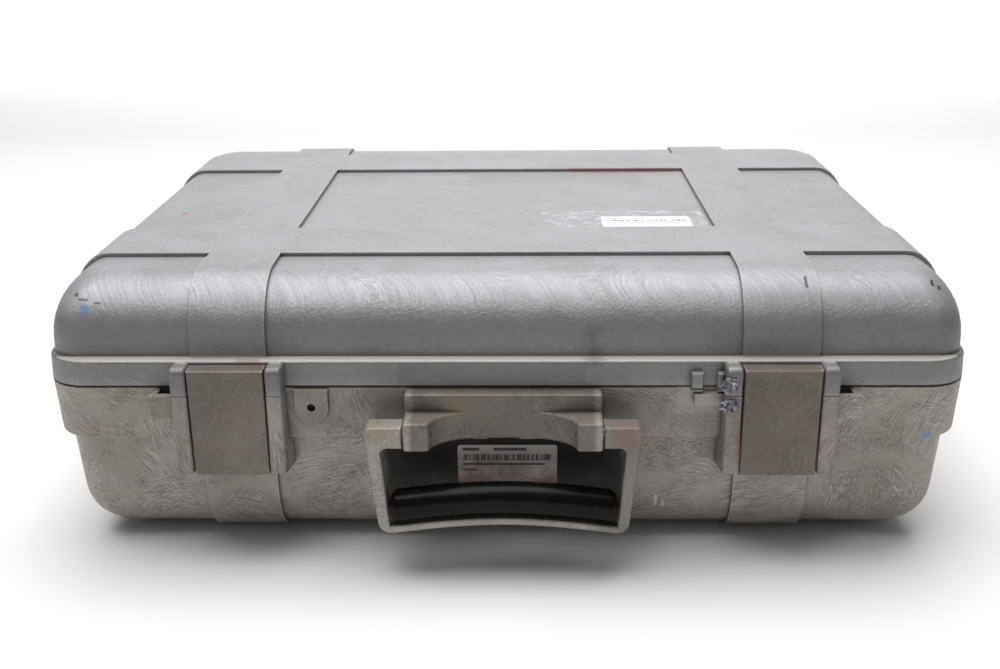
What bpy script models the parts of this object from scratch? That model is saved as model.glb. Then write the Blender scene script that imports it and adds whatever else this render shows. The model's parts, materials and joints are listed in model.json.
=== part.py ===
"""Moulded hard carrying case: two drafted half-shells with raised bands, a hinged lid on two
pinned knuckle hinges, two over-centre draw latches, a bail handle with a grip, a rim gasket
and a pressure-release screw.  Metres, +Z up, the front faces -Y, the case lies on its base.

The shells are drawn in a case frame: x = 0 in the middle, y = 0 on the front of the rim and
z = 0 on the parting plane between base and lid.  The empty named case_frame holds that frame."""

import math
from collections import namedtuple

import bmesh
import bpy

MM = 0.001
GAP = 0.3 * MM                      # clearance between neighbouring pieces

# Shells
CASE_WIDTH = 470 * MM
CASE_DEPTH = 372 * MM
BASE_DEPTH = 95.3 * MM              # parting plane down to the base's underside
LID_RISE = 50.8 * MM                # parting plane up to the lid's panel
WALL = 4.5 * MM
RIM_DRAFT = math.radians(2.9)
RIM_CORNER = 23.2 * MM
RIM_EDGE = 1.6 * MM                 # rounding where a rim turns into its ledge
BASE_RIM = 29.3 * MM
BASE_LEDGE = 8 * MM                 # from the rim's front back to the base's wall
PARTING = 0.35 * MM                 # open line between the two rims
CORNER_STEPS = 9
FILLET_STEPS = 9
EDGE_STEPS = 3

# One half-shell: direction away from the parting plane, height, wall draft, fillet radius,
# the share of the fillet's width that the sides have, ledges at the front and at the sides,
# plan corner radius at the wall's foot and at the flat, height of the rim
Half = namedtuple("Half", "direction height draft fillet narrowing ledge side_ledge corner crown rim")
BASE = Half(-1, BASE_DEPTH, math.radians(3.5), 31.4 * MM, 0.8, BASE_LEDGE, 3.6 * MM, 16 * MM,
            10 * MM, BASE_RIM)
LID = Half(1, LID_RISE, RIM_DRAFT, 31 * MM, 0.64, 7.1 * MM, 1.8 * MM, 16 * MM, 12.8 * MM, 13.6 * MM)
BODY_FOOT = 0.3                     # where a body starts inside its rim, as a share of the rim
BAND_FOOT = 0.5                     # where the bands' stock starts inside the rim
BAND_CUT = 0.2                      # where the bands' cutting blocks start inside the rim

# Raised bands
BAND_RAISE = 2 * MM
BAND_X = 138.95 * MM                # centre of the front-to-back bands
BAND_WIDTH = 38.3 * MM
CROSS_BAND = 50.6 * MM              # width of the side-to-side bands
CROSS_FRONT = 59.1 * MM             # front edge of the front one; the rear one mirrors it

# Seal
GROOVE_INSET = 2.2 * MM
GROOVE_WIDTH = 3.2 * MM
GROOVE_DEPTH = 4.2 * MM
TONGUE_HEIGHT = 1.3 * MM

# Latches
LATCH_X = 137.8 * MM
PLATE_WIDTH = 38.2 * MM
PLATE_TOP = 12.4 * MM
PLATE_BOTTOM = -44.4 * MM
PLATE_FRONT_TOP = -9.7 * MM
PLATE_FRONT_BOTTOM = -10.7 * MM
PLATE_THICKNESS = 2.6 * MM
PLATE_EDGE = 1.2 * MM
HOOK_THICKNESS = 2.6 * MM
HOOK_BACK = -1.5 * MM               # rear edge of the hook over the lid's strike
STRIKE_FRONT = -4.8 * MM
STRIKE_HEIGHT = 6.2 * MM
STRIKE_RAKE = 0.25 * MM             # fall of the strike's top towards the shell
LINK_LENGTH = 15 * MM
LINK_RADIUS = 2.6 * MM
LINK_Y = -3.6 * MM
LINK_PIN_Z = -9 * MM
CHEEK_THICKNESS = 3.2 * MM
CHEEK_INSET = 1.5 * MM              # from the plate's edge in to the cheek
PIN_RADIUS = 1.5 * MM
PIN_GRIP = 5 * MM                   # length of a latch pin's end inside a rib
RIB_GAP = 0.6 * MM
RIB_WIDTH = 8.2 * MM
RIB_BOTTOM = -43.4 * MM
RIB_FRONT_TOP = -10.2 * MM
RIB_FRONT_BOTTOM = -11.6 * MM
RIB_TAIL = 5 * MM                   # height over which a rib's lower end slopes to the wall
RIB_TOP = -1.3 * MM
RIB_EDGE = 1.6 * MM
LUG_FRONT = -10 * MM
LUG_TOP = 13.3 * MM
LUG_BOTTOM = -0.9 * MM
LUG_ROUND = 3.6 * MM
LUG_EDGE = 1.8 * MM

# Strap eyes beside the latches
EYE_REACH = 8.6 * MM                # out from the base's rim
EYE_WIDTH = 11.5 * MM               # at its front; the outer side runs back obliquely
EYE_TAPER = 1.9 * MM
EYE_TOP = -1.3 * MM
EYE_BOTTOM = -13.6 * MM
EYE_EDGE = 0.4 * MM
EYE_SLOT_X = 7.6 * MM
EYE_SLOT_Y = 5.5 * MM

# Remains of a broken hasp between the right latch and the handle
STUB_X = (LATCH_X - 44.1 * MM, LATCH_X - 38.5 * MM)
STUB_TOP = 8.4 * MM
STUB_BOTTOM = -1.2 * MM
STUB_FRONT = -4 * MM
STUB_BLOCK_X = LATCH_X - 42.5 * MM
STUB_BLOCK_TOP = -2.4 * MM
STUB_BLOCK_BOTTOM = -8.6 * MM
STUB_ARM = 3 * MM                   # width of the post that stands against the lug
STUB_EDGE = 0.6 * MM

# Pressure-release screw
VENT_X = 40.7 * MM - LATCH_X
VENT_Z = -10.8 * MM
VENT_WIDTH = 17.4 * MM
VENT_TOP = -0.9 * MM
VENT_RAISE = 1.8 * MM
VENT_EDGE = 0.5 * MM
VENT_HOLE = 2.2 * MM
VENT_HEAD_RECESS = 2.4 * MM
VENT_SEAT = 5.6 * MM                # radius of the sealing seat inside the base
VENT_SCREW = 1.7 * MM
VENT_SEAL = 1.6 * MM
VENT_KNOB = 5 * MM                  # thickness of the screw's head inside the case

# Handle bracket and bail
BRACKET_HALF = 49.3 * MM
BRACKET_TOP = -0.9 * MM
BRACKET_BOTTOM = -25 * MM
BRACKET_REACH = 8 * MM
BRACKET_EDGE = 1.4 * MM
LUG_REACH = 23.5 * MM
LUG_INNER = 36.3 * MM
HANDLE_LUG_TOP = -10 * MM
HANDLE_LUG_DROP = 0.2 * MM          # below the bracket plate, so that their undersides never share a plane
HANDLE_LUG_EDGE = 1.8 * MM
SWEEP_INNER = 8 * MM                # where the lugs' concave sweep runs into the plate
SWEEP_SINK = 0.4 * MM               # depth of the sweep's end inside the plate
SWEEP_STEPS = 9
PIVOT_Y = -17.5 * MM
PIVOT_Z = -17 * MM
HANDLE_PIN_RADIUS = 2.5 * MM
HANDLE_PIN_END = 3 * MM             # metal left outside a handle pin's bore
ARM_GAP = 0.5 * MM
BAIL_DEPTH = 12 * MM
ARM_TOP = 5 * MM                    # above the pivot
ARM_UNDER = 6.5 * MM                # below the pivot
BAIL_HALF_TOP = 68.5 * MM
BAIL_HALF_BOTTOM = 63.4 * MM
BAIL_DROP = 53.8 * MM               # from the pivot down to the bail's lowest corners
BAIL_CORNER = 6.5 * MM
BAIL_SHOULDER = 3.2 * MM
BAIL_EDGE = 1.4 * MM
LEG_WIDTH = 8 * MM
LEG_FLARE = 1.8 * MM                # by how much the opening widens towards its foot
BAR_HEIGHT = 4 * MM
BAR_ARCH = 4.9 * MM
SPINE_HEIGHT = 8 * MM
SPINE_DEPTH = 4 * MM
GRIP_HEIGHT = 17 * MM
GRIP_DEPTH = 16.5 * MM
GRIP_EDGE = 3.2 * MM
GRIP_SIDES = 20
ARCH_STEPS = 14

# Hinges at the back
HINGE_Y = CASE_DEPTH + 6.8 * MM
HINGE_WIDTH = 38 * MM
KNUCKLE_RADIUS = 5.6 * MM
KNUCKLE_WIDTH = 9 * MM              # each of the base's two outer knuckles
KNUCKLE_GAP = 0.4 * MM
WEB_HEIGHT = 12 * MM                # how far a knuckle's web runs along the rim's height
WEB_FLANK = 3.9 * MM                # behind the hinge's axis, where the web leaves the barrel
WEB_SHOULDER = 3.4 * MM
HINGE_PIN_RADIUS = 2 * MM

# Labels
LABEL_WIDTH = 52 * MM
LABEL_HEIGHT = 26.4 * MM
FRONT_LABEL_HEIGHT = 24 * MM
LABEL_CORNER = 1.6 * MM
LABEL_THICKNESS = 0.2 * MM
LABEL_LIFT = 0.1 * MM
FRONT_LABEL_TOP = -37.2 * MM
FRONT_LABEL_X = 1.6 * MM
TOP_LABEL_X = 82.1 * MM
TOP_LABEL_Y = 123.6 * MM
TAPE_WIDTH = 97 * MM
TAPE_DEPTH = 41 * MM
TAPE_X = 68.5 * MM
TAPE_Y = 130.7 * MM

# Placing the case frame: the box round the whole case stands centred on the origin
FRONT_EXTENT = max(LUG_REACH, GRIP_DEPTH / 2 - PIVOT_Y)
BACK_EXTENT = HINGE_Y - CASE_DEPTH + KNUCKLE_RADIUS
FRAME_Y = (FRONT_EXTENT - BACK_EXTENT - CASE_DEPTH) / 2
FRAME_Z = BASE_DEPTH + BAND_RAISE

RIB_INNER = PLATE_WIDTH / 2 + RIB_GAP
RIB_OUTER = RIB_INNER + RIB_WIDTH
LEVER_PIN_Z = LINK_PIN_Z - LINK_LENGTH
HINGE_AXIS = (0, HINGE_Y, 0)
HANDLE_AXIS = (0, PIVOT_Y, PIVOT_Z)
SIDES = {"left": -1, "right": 1}


# ---- meshes ------------------------------------------------------------------

def rounded_outline(half_x, half_y, radius):
    """Points of a rounded rectangle round the case's middle, anticlockwise."""
    points = []
    for quarter, (sx, sy) in enumerate(((1, 1), (-1, 1), (-1, -1), (1, -1))):
        for step in range(CORNER_STEPS + 1):
            angle = math.pi / 2 * (quarter + step / CORNER_STEPS)
            x = sx * (half_x - radius) + radius * math.cos(angle)
            y = CASE_DEPTH / 2 + sy * (half_y - radius) + radius * math.sin(angle)
            points.append((x, y))
    return points


def add_ring(bm, outline, z):
    return [bm.verts.new((x, y, z)) for x, y in outline]


def bridge(bm, lower, upper):
    count = len(lower)
    for i in range(count):
        j = (i + 1) % count
        bm.faces.new((lower[i], lower[j], upper[j], upper[i]))


def closed(bm):
    bmesh.ops.recalc_face_normals(bm, faces=bm.faces[:])
    return bm


def loft(sections):
    """Closed solid through (z, half_x, half_y, radius) sections, capped at both ends."""
    bm = bmesh.new()
    rings = [add_ring(bm, rounded_outline(hx, hy, r), z) for z, hx, hy, r in sections]
    for lower, upper in zip(rings, rings[1:]):
        bridge(bm, lower, upper)
    bm.faces.new(rings[0])
    bm.faces.new(rings[-1])
    return closed(bm)


def loop_solid(inset, width, z0, z1):
    """A closed frame that follows the rim: inset from its edge, width across, z0 to z1."""
    bm = bmesh.new()
    corners = ((inset, z0), (inset, z1), (inset + width, z1), (inset + width, z0))
    rings = []
    for offset, z in corners:
        half_x = CASE_WIDTH / 2 - offset
        half_y = CASE_DEPTH / 2 - offset
        rings.append(add_ring(bm, rounded_outline(half_x, half_y, RIM_CORNER - offset), z))
    for i in range(4):
        bridge(bm, rings[i], rings[(i + 1) % 4])
    return closed(bm)


def prism(points, start, end, axis):
    """Polygon extruded along an axis.  Points are (y, z) for x, (x, z) for y, (x, y) for z."""
    place = {"x": lambda a, b, t: (t, a, b), "y": lambda a, b, t: (a, t, b),
             "z": lambda a, b, t: (a, b, t)}[axis]
    bm = bmesh.new()
    near = [bm.verts.new(place(a, b, start)) for a, b in points]
    far = [bm.verts.new(place(a, b, end)) for a, b in points]
    bm.faces.new(near)
    bm.faces.new(far)
    bridge(bm, near, far)
    return closed(bm)


def box(x0, x1, y0, y1, z0, z1):
    return prism(((y0, z0), (y1, z0), (y1, z1), (y0, z1)), x0, x1, "x")


def circle(a, b, radius, segments=16):
    turn = 2 * math.pi / segments
    return [(a + radius * math.cos(turn * (i + 0.5)), b + radius * math.sin(turn * (i + 0.5)))
            for i in range(segments)]


def rod_x(x0, x1, y, z, radius, segments=16):
    return prism(circle(y, z, radius, segments), x0, x1, "x")


def rod_y(y0, y1, x, z, radius, segments=20):
    return prism(circle(x, z, radius, segments), y0, y1, "y")


def stadium(y, z_top, z_bottom, radius):
    """Outline in y and z of a bar with round ends."""
    return arc(y, z_top, radius, 0, 180, 8) + arc(y, z_bottom, radius, 180, 360, 8)


def arc(a, b, radius, start, end, steps):
    """Points on a circle from one angle to another, in degrees."""
    angles = [math.radians(start + (end - start) * i / steps) for i in range(steps + 1)]
    return [(a + radius * math.cos(angle), b + radius * math.sin(angle)) for angle in angles]


def mirrored(points):
    """Second half of an outline that is symmetric in x, walked back the other way."""
    return [(-x, b) for x, b in reversed(points)]


def rounded(bm, radius, chosen):
    """Rounds the edges that chosen(first corner, second corner) picks."""
    edges = [edge for edge in bm.edges if chosen(edge.verts[0].co, edge.verts[1].co)]
    bmesh.ops.bevel(bm, geom=edges, offset=radius, segments=EDGE_STEPS, profile=0.5,
                    affect="EDGES", clamp_overlap=False)
    return closed(bm)


def join(bms):
    """One mesh from several that stay apart from each other."""
    out = bmesh.new()
    for bm in bms:
        mesh = bpy.data.meshes.new("joined")
        bm.to_mesh(mesh)
        bm.free()
        out.from_mesh(mesh)
        bpy.data.meshes.remove(mesh)
    return out


def combine(base, tool, operation):
    """Exact Boolean of two closed meshes; both are used up and the result is returned."""
    operands = []
    for name, bm in (("base", base), ("tool", tool)):
        mesh = bpy.data.meshes.new(name)
        bm.to_mesh(mesh)
        bm.free()
        obj = bpy.data.objects.new(name, mesh)
        bpy.context.scene.collection.objects.link(obj)
        operands.append(obj)
    target, other = operands
    modifier = target.modifiers.new("combine", "BOOLEAN")
    modifier.operation = operation
    modifier.solver = "EXACT"
    modifier.object = other
    depsgraph = bpy.context.evaluated_depsgraph_get()
    result = bpy.data.meshes.new_from_object(target.evaluated_get(depsgraph))
    out = bmesh.new()
    out.from_mesh(result)
    bpy.data.meshes.remove(result)
    for obj in operands:
        mesh = obj.data
        bpy.data.objects.remove(obj)
        bpy.data.meshes.remove(mesh)
    bmesh.ops.remove_doubles(out, verts=out.verts[:], dist=1e-6)
    return out


# ---- objects and materials -----------------------------------------------------

def material(name, colour, roughness, metallic=0.0):
    mat = bpy.data.materials.get(name)
    if mat:
        return mat
    mat = bpy.data.materials.new(name)
    mat.use_nodes = True
    shader = mat.node_tree.nodes["Principled BSDF"]
    shader.inputs["Base Color"].default_value = (*colour, 1)
    shader.inputs["Roughness"].default_value = roughness
    shader.inputs["Metallic"].default_value = metallic
    mat.diffuse_color = (*colour, 1)
    return mat


def lid_paint():
    return material("silver_painted_lid", (0.42, 0.42, 0.43), 0.45)


def base_paint():
    return material("silver_painted_base", (0.25, 0.24, 0.22), 0.5)


def latch_paint():
    return material("silver_painted_latch", (0.18, 0.17, 0.15), 0.45)


def steel():
    return material("steel", (0.55, 0.55, 0.55), 0.3, 1.0)


def rubber():
    return material("black_rubber", (0.02, 0.02, 0.02), 0.6)


def grip_plastic():
    return material("black_grip_plastic", (0.012, 0.012, 0.014), 0.3)


def label_paper():
    return material("label_paper", (0.75, 0.73, 0.71), 0.6)


def clear_tape():
    return material("clear_tape", (0.45, 0.46, 0.48), 0.15)


def make_node(name, bm, mat, pivot=(0, 0, 0), smooth=40):
    """Object with its origin at the pivot, parented to the case frame."""
    bmesh.ops.translate(bm, verts=bm.verts[:], vec=[-value for value in pivot])
    mesh = bpy.data.meshes.new(name)
    bm.to_mesh(mesh)
    bm.free()
    mesh.materials.append(mat)
    mesh.shade_smooth()
    mesh.set_sharp_from_angle(angle=math.radians(smooth))
    obj = bpy.data.objects.new(name, mesh)
    bpy.context.scene.collection.objects.link(obj)
    obj.location = pivot
    obj.parent = bpy.data.objects["case_frame"]
    return obj


# ---- half-shells -----------------------------------------------------------------

def wall_path(start, height, draft, fillet, steps):
    """(height, inset) pairs from start up a drafted wall and round its fillet to the flat."""
    reach = (height - fillet) * math.tan(draft) + fillet / math.cos(draft)
    points = [(start, start * math.tan(draft))]
    for step in range(steps + 1):
        angle = draft + (math.pi / 2 - draft) * step / steps
        points.append((height - fillet + fillet * math.sin(angle), reach - fillet * math.cos(angle)))
    return points


def body_loft(half, growth, start):
    """Body of a half-shell away from the parting plane; growth moves every face outward."""
    sections = []
    path = wall_path(start, half.height + growth, half.draft, half.fillet + growth, FILLET_STEPS)
    for rise, inset in path:
        corner = half.corner - (half.corner - half.crown) * inset / path[-1][1] + growth
        half_x = CASE_WIDTH / 2 - half.side_ledge - inset * half.narrowing + growth
        half_y = CASE_DEPTH / 2 - half.ledge - inset + growth
        sections.append((half.direction * rise, half_x, half_y, corner))
    return loft(sections)


def rim_loft(half, start):
    sections = []
    for rise, inset in wall_path(start, half.rim, RIM_DRAFT, RIM_EDGE, EDGE_STEPS):
        sections.append((half.direction * rise, CASE_WIDTH / 2 - inset, CASE_DEPTH / 2 - inset,
                         RIM_CORNER - inset))
    return loft(sections)


def band_blocks(z0, z1):
    """Two front-to-back and two side-to-side blocks that mark where the bands stand."""
    reach = CASE_WIDTH
    blocks = None
    for sign in (-1, 1):
        x0 = sign * BAND_X - BAND_WIDTH / 2
        block = box(x0, x0 + BAND_WIDTH, -reach, 2 * reach, z0, z1)
        blocks = combine(blocks, block, "UNION") if blocks else block
    for y0 in (CROSS_FRONT, CASE_DEPTH - CROSS_FRONT - CROSS_BAND):
        block = box(-reach, reach, y0, y0 + CROSS_BAND, z0 - MM, z1 + MM)
        blocks = combine(blocks, block, "UNION")
    return blocks


def half_shell(half, gap):
    """Rim, body and bands of one half, still solid."""
    shell = combine(rim_loft(half, gap), body_loft(half, 0, BODY_FOOT * half.rim), "UNION")
    grown = body_loft(half, BAND_RAISE, BAND_FOOT * half.rim)
    ends = (half.direction * BAND_CUT * half.rim, half.direction * (half.height + BAND_WIDTH))
    bands = combine(grown, band_blocks(min(ends), max(ends)), "INTERSECT")
    return combine(shell, bands, "UNION")


def cavity(half):
    return body_loft(half, -WALL, -WALL)


def rib_outline(back):
    """Side outline in y and z of a base rib, whose lower end slopes to the wall."""
    return ((back, RIB_TOP), (RIB_FRONT_TOP, RIB_TOP), (RIB_FRONT_BOTTOM, RIB_BOTTOM),
            (back, RIB_BOTTOM - RIB_TAIL))


def lug_outline(back):
    """Side outline of a lid lug: it overhangs the base's rim and is round at the top front."""
    return [(back, PARTING), (-GAP, PARTING), (-GAP, LUG_BOTTOM), (LUG_FRONT, LUG_BOTTOM),
            *arc(LUG_FRONT + LUG_ROUND, LUG_TOP - LUG_ROUND, LUG_ROUND, 180, 90, 5), (back, LUG_TOP)]


def strike_outline():
    top = PLATE_TOP - HOOK_THICKNESS - GAP
    bottom = top - STRIKE_HEIGHT
    inside = WALL / 2
    nose = STRIKE_HEIGHT / 4
    return ((inside, bottom), (STRIKE_FRONT + nose, bottom), (STRIKE_FRONT, bottom + nose),
            (STRIKE_FRONT, top), (inside, top - STRIKE_RAKE))


def both_latches(outline, inner, outer, radius, chosen):
    """One outline on both sides of both latches, with the chosen edges rounded."""
    pieces = []
    for sign in SIDES.values():
        for side in (-1, 1):
            x0, x1 = sorted(sign * LATCH_X + side * offset for offset in (inner, outer))
            pieces.append(rounded(prism(outline, x0, x1, "x"), radius, chosen))
    return pieces


def base_ribs():
    return both_latches(rib_outline(BASE_LEDGE + WALL / 2), RIB_INNER, RIB_OUTER, RIB_EDGE,
                        lambda a, b: min(a.y, b.y) < 0 and a.z + b.z < 2 * RIB_TOP - MM)


def lid_lugs():
    return both_latches(lug_outline(LID.ledge + WALL / 2), RIB_INNER, RIB_OUTER, LUG_EDGE,
                        lambda a, b: a.x == b.x and min(a.y, b.y) < 0 and max(a.z, b.z) > MM)


def knuckle(x0, x1, direction):
    """Barrel with a web that joins it to a rim; the web lies on its own side of the parting."""
    barrel = rod_x(x0, x1, HINGE_Y, 0, KNUCKLE_RADIUS)
    back = CASE_DEPTH - RIM_EDGE
    web = prism(((back, direction * PARTING), (HINGE_Y, direction * PARTING),
                 (HINGE_Y + WEB_FLANK, direction * WEB_SHOULDER),
                 (HINGE_Y - RIM_EDGE, direction * WEB_HEIGHT), (back, direction * WEB_HEIGHT)),
                x0, x1, "x")
    return combine(barrel, web, "UNION")


def hinge_spans():
    """x ranges of the base's outer knuckles and of the lid's middle ones."""
    base, lid = [], []
    for sign in SIDES.values():
        x0 = sign * BAND_X - HINGE_WIDTH / 2
        x1 = x0 + HINGE_WIDTH
        base += [(x0, x0 + KNUCKLE_WIDTH), (x1 - KNUCKLE_WIDTH, x1)]
        lid += [(x0 + KNUCKLE_WIDTH + KNUCKLE_GAP, x1 - KNUCKLE_WIDTH - KNUCKLE_GAP)]
    return base, lid


def hinge_bores():
    reach = HINGE_WIDTH / 2 + WALL
    return [rod_x(sign * BAND_X - reach, sign * BAND_X + reach, HINGE_Y, 0, HINGE_PIN_RADIUS + GAP)
            for sign in SIDES.values()]


def handle_lug(sign):
    """Lug of the handle bracket with a concave sweep that runs into the bracket's plate."""
    half_x = LUG_INNER - SWEEP_INNER
    half_y = LUG_REACH - BRACKET_REACH + SWEEP_SINK
    plan = [(BRACKET_HALF, WALL), (BRACKET_HALF, -LUG_REACH), (LUG_INNER, -LUG_REACH)]
    for step in range(1, SWEEP_STEPS + 1):
        angle = math.pi / 2 * step / SWEEP_STEPS
        plan.append((LUG_INNER - half_x * (1 - math.cos(angle)), -LUG_REACH + half_y * math.sin(angle)))
    plan.append((SWEEP_INNER, WALL))
    lug = prism([(sign * x, y) for x, y in plan], BRACKET_BOTTOM - HANDLE_LUG_DROP, HANDLE_LUG_TOP, "z")
    front = GAP - LUG_REACH
    return rounded(lug, HANDLE_LUG_EDGE, lambda a, b: min(a.y, b.y) < -BRACKET_REACH - GAP
                   and (a.z == b.z or max(a.y, b.y) < front))


def handle_bracket():
    plate = box(-BRACKET_HALF, BRACKET_HALF, -BRACKET_REACH, WALL, BRACKET_BOTTOM, BRACKET_TOP)
    plate = rounded(plate, BRACKET_EDGE, lambda a, b: min(a.y, b.y) < 0)
    for sign in SIDES.values():
        plate = combine(plate, handle_lug(sign), "UNION")
    return plate


def vent_boss():
    """Plate with a straight top and a round lower end on the base's rim."""
    radius = VENT_WIDTH / 2
    outline = [(VENT_X + radius, VENT_TOP), (VENT_X - radius, VENT_TOP),
               *arc(VENT_X, VENT_Z, radius, 180, 360, 12)]
    boss = prism(outline, -VENT_RAISE, WALL, "y")
    return rounded(boss, VENT_EDGE, lambda a, b: max(a.y, b.y) < 0)


def vent_seat():
    """Boss inside the base that the release screw's seal closes on."""
    rear = BASE_LEDGE + WALL + VENT_EDGE * 3
    return rod_y(WALL / 2, rear, VENT_X, VENT_Z, VENT_SEAT), rear


def strap_eyes():
    """Eyes that join the outer ribs; each has a slot open above and below."""
    eyes, slots = [], []
    root = LATCH_X + RIB_OUTER
    for sign in SIDES.values():
        plan = ((root - RIB_EDGE - MM, WALL), (root - RIB_EDGE - MM, -EYE_REACH),
                (root + EYE_WIDTH, -EYE_REACH), (root + EYE_WIDTH - EYE_TAPER, 0),
                (root + EYE_WIDTH - EYE_TAPER, WALL))
        eye = prism([(sign * x, y) for x, y in plan], EYE_BOTTOM, EYE_TOP, "z")
        eyes.append(rounded(eye, EYE_EDGE, lambda a, b: max(a.y, b.y) < -EYE_SLOT_Y))
        ends = sorted((sign * root, sign * (root + EYE_SLOT_X)))
        slots.append(box(ends[0], ends[1], -EYE_SLOT_Y, 0, EYE_BOTTOM - MM, EYE_TOP + MM))
    return eyes, slots


def make_base_shell():
    shell = half_shell(BASE, 0)
    eyes, slots = strap_eyes()
    spans, _ = hinge_spans()
    seat, _ = vent_seat()
    block = box(STUB_BLOCK_X, LATCH_X - RIB_OUTER + MM, STUB_FRONT, WALL, STUB_BLOCK_BOTTOM,
                STUB_BLOCK_TOP)
    block = rounded(block, STUB_EDGE, lambda a, b: min(a.y, b.y) < 0 and max(a.x, b.x) < LATCH_X - RIB_OUTER)
    for group in (base_ribs(), eyes, [knuckle(x0, x1, -1) for x0, x1 in spans],
                  [handle_bracket(), vent_boss(), block]):
        shell = combine(shell, join(group), "UNION")
    shell = combine(shell, cavity(BASE), "DIFFERENCE")
    shell = combine(shell, seat, "UNION")
    tongue = loop_solid(GROOVE_INSET + GAP, GROOVE_WIDTH - 2 * GAP, -GROOVE_DEPTH / 2, TONGUE_HEIGHT)
    shell = combine(shell, tongue, "UNION")
    cutters = slots + hinge_bores()
    reach = RIB_INNER + PIN_GRIP + GAP
    for sign in SIDES.values():
        centre = sign * LATCH_X
        cutters.append(rod_x(centre - reach, centre + reach, LINK_Y, LINK_PIN_Z, PIN_RADIUS + GAP))
        ends = sorted((sign * (LUG_INNER - MM), sign * (BRACKET_HALF + MM)))
        cutters.append(rod_x(ends[0], ends[1], PIVOT_Y, PIVOT_Z, HANDLE_PIN_RADIUS + GAP))
    cutters.append(rod_y(-BASE_LEDGE, 2 * WALL + BASE_LEDGE, VENT_X, VENT_Z, VENT_HOLE))
    shell = combine(shell, join(cutters), "DIFFERENCE")
    return make_node("base_shell", shell, base_paint())


def hasp_stubs():
    """Two posts on the lid that are left of the hasp; each overhangs the base's rim."""
    post = ((WALL / 2, PARTING), (-GAP, PARTING), (-GAP, STUB_BOTTOM), (STUB_FRONT, STUB_BOTTOM),
            (STUB_FRONT, STUB_TOP), (WALL / 2, STUB_TOP))
    arm_end = LATCH_X - RIB_OUTER - GAP
    return [rounded(prism(post, x0, x1, "x"), STUB_EDGE, lambda a, b: max(a.y, b.y) < -2 * GAP)
            for x0, x1 in (STUB_X, (arm_end - STUB_ARM, arm_end))]


def make_lid_shell():
    shell = half_shell(LID, PARTING)
    _, spans = hinge_spans()
    strikes = []
    for sign in SIDES.values():
        centre = sign * LATCH_X
        strikes.append(prism(strike_outline(), centre - RIB_INNER - MM, centre + RIB_INNER + MM, "x"))
    for group in (lid_lugs(), strikes, hasp_stubs(), [knuckle(x0, x1, 1) for x0, x1 in spans]):
        shell = combine(shell, join(group), "UNION")
    shell = combine(shell, cavity(LID), "DIFFERENCE")
    groove = loop_solid(GROOVE_INSET, GROOVE_WIDTH, -GROOVE_DEPTH, PARTING + GROOVE_DEPTH)
    shell = combine(shell, groove, "DIFFERENCE")
    shell = combine(shell, join(hinge_bores()), "DIFFERENCE")
    return make_node("lid_shell", shell, lid_paint(), HINGE_AXIS)


def make_gasket():
    low = TONGUE_HEIGHT + GAP
    high = PARTING + GROOVE_DEPTH - GAP
    bm = loop_solid(GROOVE_INSET + GAP, GROOVE_WIDTH - 2 * GAP, low, high)
    return make_node("lid_gasket", bm, rubber(), HINGE_AXIS)


# ---- latches ------------------------------------------------------------------------

def lever_outline():
    """Side outline of a latch lever: cover plate with a hook turned in at the top."""
    inner_top = PLATE_FRONT_TOP + PLATE_THICKNESS
    inner_bottom = PLATE_FRONT_BOTTOM + PLATE_THICKNESS
    under = PLATE_TOP - HOOK_THICKNESS
    return ((PLATE_FRONT_BOTTOM, PLATE_BOTTOM), (PLATE_FRONT_TOP, PLATE_TOP),
            (HOOK_BACK, PLATE_TOP), (HOOK_BACK, under - STRIKE_RAKE), (STRIKE_FRONT, under),
            (inner_top, under), (inner_bottom, PLATE_BOTTOM))


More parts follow.
